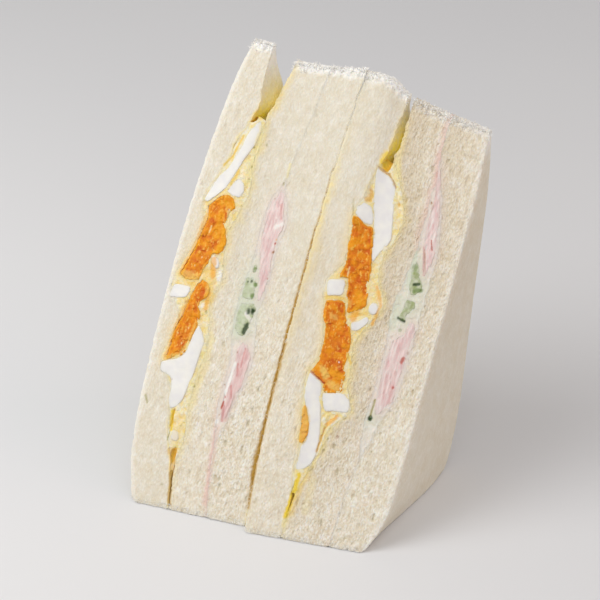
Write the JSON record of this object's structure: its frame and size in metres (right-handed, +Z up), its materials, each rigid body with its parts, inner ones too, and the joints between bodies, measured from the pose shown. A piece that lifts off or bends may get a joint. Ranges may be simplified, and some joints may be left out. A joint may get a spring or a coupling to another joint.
{
  "type": "egg and ham sandwich",
  "caption": "Crustless white bread sandwich cut on the diagonal, its two halves stood together, with layers of boiled egg, ham and cucumber showing at the cut.",
  "frame": {"origin": "middle of the bounding box's bottom, on the surface the sandwich stands on", "axes": "+X across the stack of bread towards the half with the plain outer slice, +Y away from the sloping cut faces, +Z up"},
  "size_m": [0.0896, 0.0918, 0.1214],
  "materials": {
    "bread": "soft matt crumb, white bread without crust",
    "egg_white": "smooth moist boiled egg white",
    "egg_yolk": "crumbly moist boiled yolk",
    "egg_mash": "mashed egg and yellow mayonnaise dressing",
    "cream": "thin pale dressing",
    "ham": "moist thin cooked ham",
    "cucumber": "moist pale green flesh with a dark green skin"
  },
  "bodies": {
    "root": {"bread_a1": "bread", "bread_a2": "bread", "bread_a3": "bread", "bread_b1": "bread", "bread_b2": "bread", "bread_b3": "bread", "egg_white_a1": "egg_white", "egg_white_a2": "egg_white", "egg_yolk_a1": "egg_yolk", "egg_white_a3": "egg_white", "egg_white_a4": "egg_white", "egg_yolk_a2": "egg_yolk", "egg_white_a5": "egg_white", "egg_white_a6": "egg_white", "ham_a1": "ham", "ham_a2": "ham", "cucumber_a1": "cucumber", "cucumber_a2": "cucumber", "cucumber_a3": "cucumber", "egg_white_b1": "egg_white", "egg_white_b2": "egg_white", "egg_yolk_b1": "egg_yolk", "egg_white_b3": "egg_white", "egg_yolk_b2": "egg_yolk", "egg_white_b4": "egg_white", "egg_white_b5": "egg_white", "egg_white_b6": "egg_white", "egg_white_b7": "egg_white", "egg_yolk_b3": "egg_yolk", "ham_b1": "ham", "ham_b2": "ham", "cucumber_b1": "cucumber", "cucumber_b2": "cucumber", "cucumber_b3": "cucumber", "egg_mash_a": "egg_mash", "cream_a": "cream", "egg_mash_b": "egg_mash", "cream_b": "cream"}
  },
  "joints": []
}
